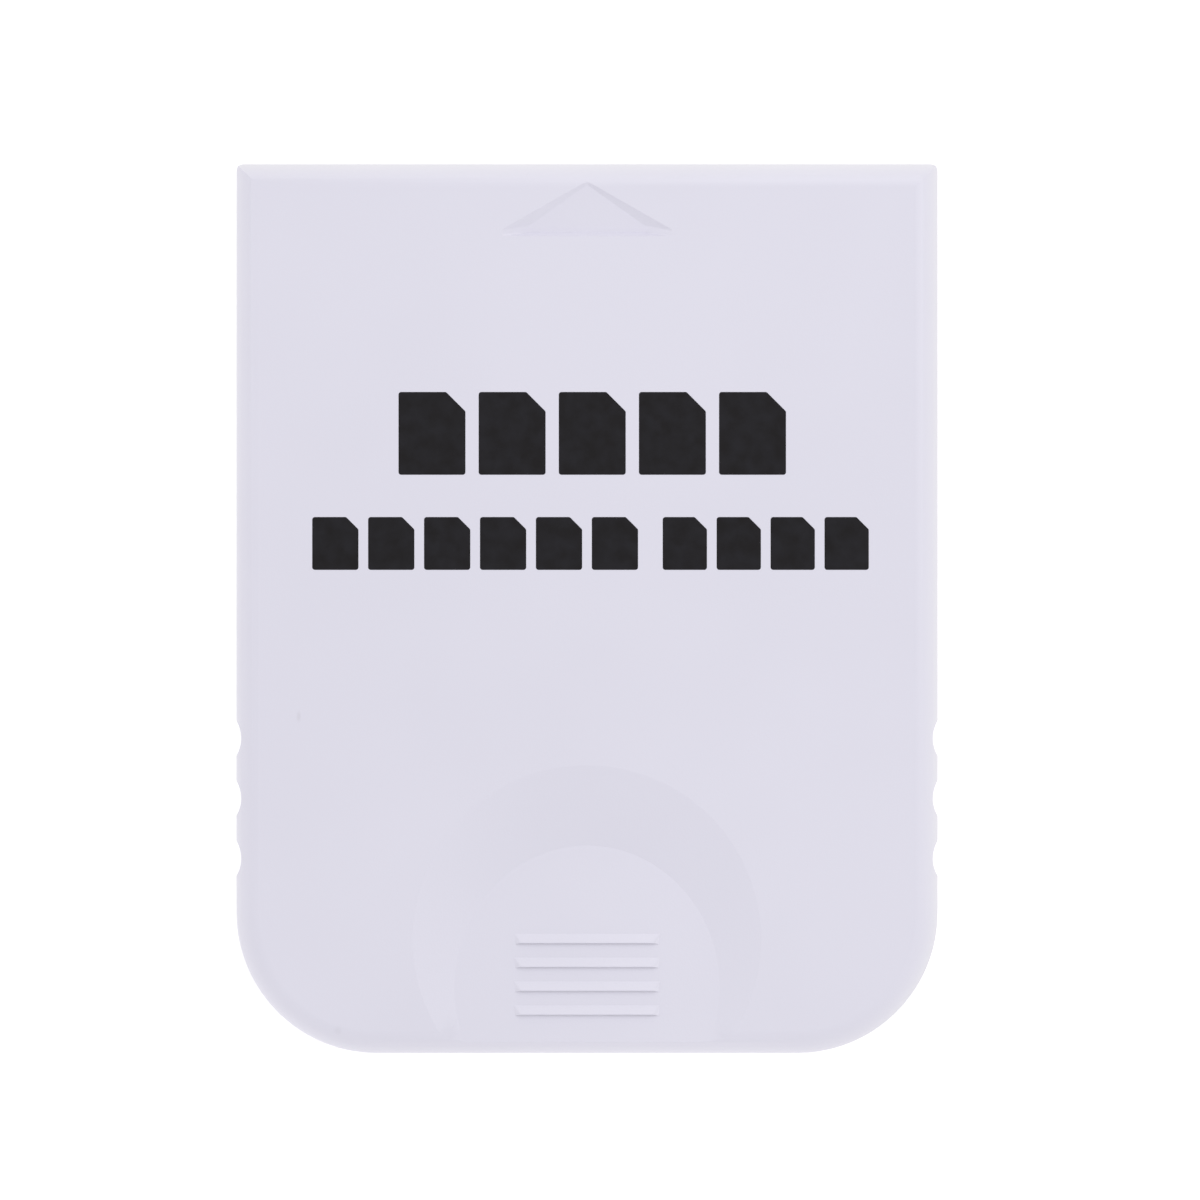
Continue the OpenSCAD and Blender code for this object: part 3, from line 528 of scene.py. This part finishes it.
def printed_row(name, rows):
    """One line of printed blocks as a single film of ink."""
    points, faces, total = [], [], 0
    for row in rows:
        width = (row["right"] - row["left"] - (row["count"] - 1) * row["gap"]) / row["count"]
        for i in range(row["count"]):
            left = row["left"] + i * (width + row["gap"])
            outline = block_outline(left, left + width, row["bottom"], row["top"], row["cut"])
            new_points, quads, triangles = film_surface(outline)
            points.append(new_points)
            faces += (quads + total).tolist() + (triangles + total).tolist()
            total += len(new_points)
    mesh = bpy.data.meshes.new(name)
    mesh.from_pydata(np.concatenate(points).tolist(), [], faces)
    mesh.materials.append(materials["print_ink"])
    ink = bpy.data.objects.new(name, mesh)
    bpy.context.scene.collection.objects.link(ink)
    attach(ink, "root")


# Studio

FRAME_WIDTH = 68.47 * MM
FRAME_CENTRE = (0.74 * MM, 0.49 * MM)
LENS_MM = 150
SENSOR_MM = 36
# Degrees from the insertion end towards the right-hand side
KEY_AZIMUTH = 35
LAMP_DISTANCE = 0.5
# Heights on a ball of radius 1 between which the paper's light fades into the sky's
UPPER_FADE = (-0.3, 0.3)
LOWER_FADE = (-0.4, -0.8)
FLOOR_HALF = 2.0
FLOOR_Z = -0.02 * MM
# How much of the floor's white is paper, and how much is its own light
FLOOR_GREY = 0.55
FLOOR_GLOW = 0.6


def place_camera():
    """A camera that looks straight down, so far above the card's widest outline, where its front
    edge begins to round, that the picture is FRAME_WIDTH across there."""
    data = bpy.data.cameras.new("camera")
    data.lens = LENS_MM
    data.sensor_width = SENSOR_MM
    data.clip_start = 0.01
    camera = bpy.data.objects.new("camera", data)
    height = FACE_Z - EDGE_RADIUS + FRAME_WIDTH * LENS_MM / SENSOR_MM
    camera.location = (*FRAME_CENTRE, height)
    bpy.context.scene.collection.objects.link(camera)
    bpy.context.scene.camera = camera


def white_studio(sky, near_key, far_side):
    """The world: white where it is seen. Elsewhere it lights the card evenly from above and from
    straight below, with the light sky. From the side, below the horizon, it lights the card as
    white paper round it would, with a light that goes from near_key under the key lamp to
    far_side on the side away from it."""
    world = bpy.data.worlds.new("studio")
    bpy.context.scene.world = world
    world.use_nodes = True
    tree = world.node_tree
    tree.nodes.clear()
    place = add_node(tree, "ShaderNodeTexCoord").outputs["Generated"]
    turn = math.radians(KEY_AZIMUTH)
    to_key = add_node(tree, "ShaderNodeVectorMath", {
        0: place, 1: (math.sin(turn), math.cos(turn), 0)}, operation="DOT_PRODUCT")
    side = add_node(tree, "ShaderNodeMapRange", {
        "Value": to_key.outputs["Value"], "From Min": -1.0, "From Max": 1.0})
    paper = add_node(tree, "ShaderNodeMix", {
        SHARE: side.outputs["Result"], FIRST: far_side, SECOND: near_key}, data_type="RGBA")
    height = add_node(tree, "ShaderNodeSeparateXYZ", {"Vector": place})
    above = add_node(tree, "ShaderNodeMapRange", {
        "Value": height.outputs["Z"], "From Min": UPPER_FADE[0], "From Max": UPPER_FADE[1]})
    below = add_node(tree, "ShaderNodeMapRange", {
        "Value": height.outputs["Z"], "From Min": LOWER_FADE[0], "From Max": LOWER_FADE[1]})
    band = add_node(tree, "ShaderNodeMath", {
        0: above.outputs["Result"], 1: below.outputs["Result"]}, operation="ADD")
    fill = add_node(tree, "ShaderNodeMix", {
        SHARE: band.outputs["Value"], FIRST: paper.outputs[MIXED], SECOND: sky,
    }, data_type="RGBA")
    # 1 for rays from the camera, and for those that a gloss or a clear piece sends on
    light_path = add_node(tree, "ShaderNodeLightPath")
    seen = light_path.outputs["Is Camera Ray"]
    for ray in ("Is Glossy Ray", "Is Transmission Ray"):
        seen = add_node(tree, "ShaderNodeMath", {
            0: seen, 1: light_path.outputs[ray]}, operation="MAXIMUM").outputs["Value"]
    colour = add_node(tree, "ShaderNodeMix", {
        SHARE: seen, FIRST: fill.outputs[MIXED], SECOND: (1, 1, 1, 1)}, data_type="RGBA")
    white = add_node(tree, "ShaderNodeBackground", {"Color": colour.outputs[MIXED]})
    add_node(tree, "ShaderNodeOutputWorld", {"Surface": white.outputs["Background"]})


def white_floor():
    """A white floor that keeps the card's soft shadow. Part of its white is its own, and the rest
    is light that falls on it, which the card can block. Its underside isn't seen."""
    mesh = bpy.data.meshes.new("floor")
    corners = [(x * FLOOR_HALF, y * FLOOR_HALF, FLOOR_Z)
               for x, y in ((-1, -1), (1, -1), (1, 1), (-1, 1))]
    mesh.from_pydata(corners, [], [(0, 1, 2, 3)])
    material = bpy.data.materials.new("white_paper")
    material.use_nodes = True
    tree = material.node_tree
    tree.nodes.clear()
    paper = add_node(tree, "ShaderNodeBsdfDiffuse", {
        "Color": (FLOOR_GREY, FLOOR_GREY, FLOOR_GREY, 1)})
    glow = add_node(tree, "ShaderNodeEmission", {"Strength": FLOOR_GLOW})
    both = add_node(tree, "ShaderNodeAddShader", {
        0: paper.outputs["BSDF"], 1: glow.outputs["Emission"]})
    clear = add_node(tree, "ShaderNodeBsdfTransparent")
    light_path = add_node(tree, "ShaderNodeLightPath")
    geometry = add_node(tree, "ShaderNodeNewGeometry")
    seen = add_node(tree, "ShaderNodeMath", {
        0: light_path.outputs["Is Camera Ray"], 1: geometry.outputs["Backfacing"],
    }, operation="SUBTRACT", use_clamp=True)
    surface = add_node(tree, "ShaderNodeMixShader", {
        0: seen.outputs["Value"], 1: clear.outputs["BSDF"], 2: both.outputs["Shader"]})
    add_node(tree, "ShaderNodeOutputMaterial", {"Surface": surface.outputs["Shader"]})
    mesh.materials.append(material)
    floor = bpy.data.objects.new("floor", mesh)
    bpy.context.scene.collection.objects.link(floor)


def soft_lamp(name, azimuth, elevation, width, height, power):
    """A wide soft lamp aimed at the card. azimuth turns from the insertion end towards the right
    of the picture and elevation is above the floor, both in degrees."""
    turn, rise = math.radians(azimuth), math.radians(elevation)
    direction = Vector((math.sin(turn) * math.cos(rise), math.cos(turn) * math.cos(rise),
                        math.sin(rise)))
    data = bpy.data.lights.new(name, "AREA")
    data.shape = "RECTANGLE"
    data.size, data.size_y = width, height
    data.energy = power
    lamp = bpy.data.objects.new(name, data)
    lamp.location = direction * LAMP_DISTANCE
    lamp.rotation_euler = direction.to_track_quat("Z", "Y").to_euler()
    lamp.visible_camera = False
    bpy.context.scene.collection.objects.link(lamp)


place_camera()
white_studio(sky=(0.805, 0.805, 0.808, 1), near_key=(1.13, 1.14, 0.84, 1),
             far_side=(1.84, 1.82, 1.80, 1))
white_floor()
soft_lamp("key", azimuth=KEY_AZIMUTH, elevation=50, width=0.5, height=0.35, power=0.66)
bpy.context.scene.view_settings.view_transform = "Standard"

dress_nodes()
for shell_node in ("front_shell", "rear_shell"):
    smooth_shell(shell_node)
printed_row("ink_upper", [UPPER_MARKS])
printed_row("ink_lower", LOWER_MARKS)
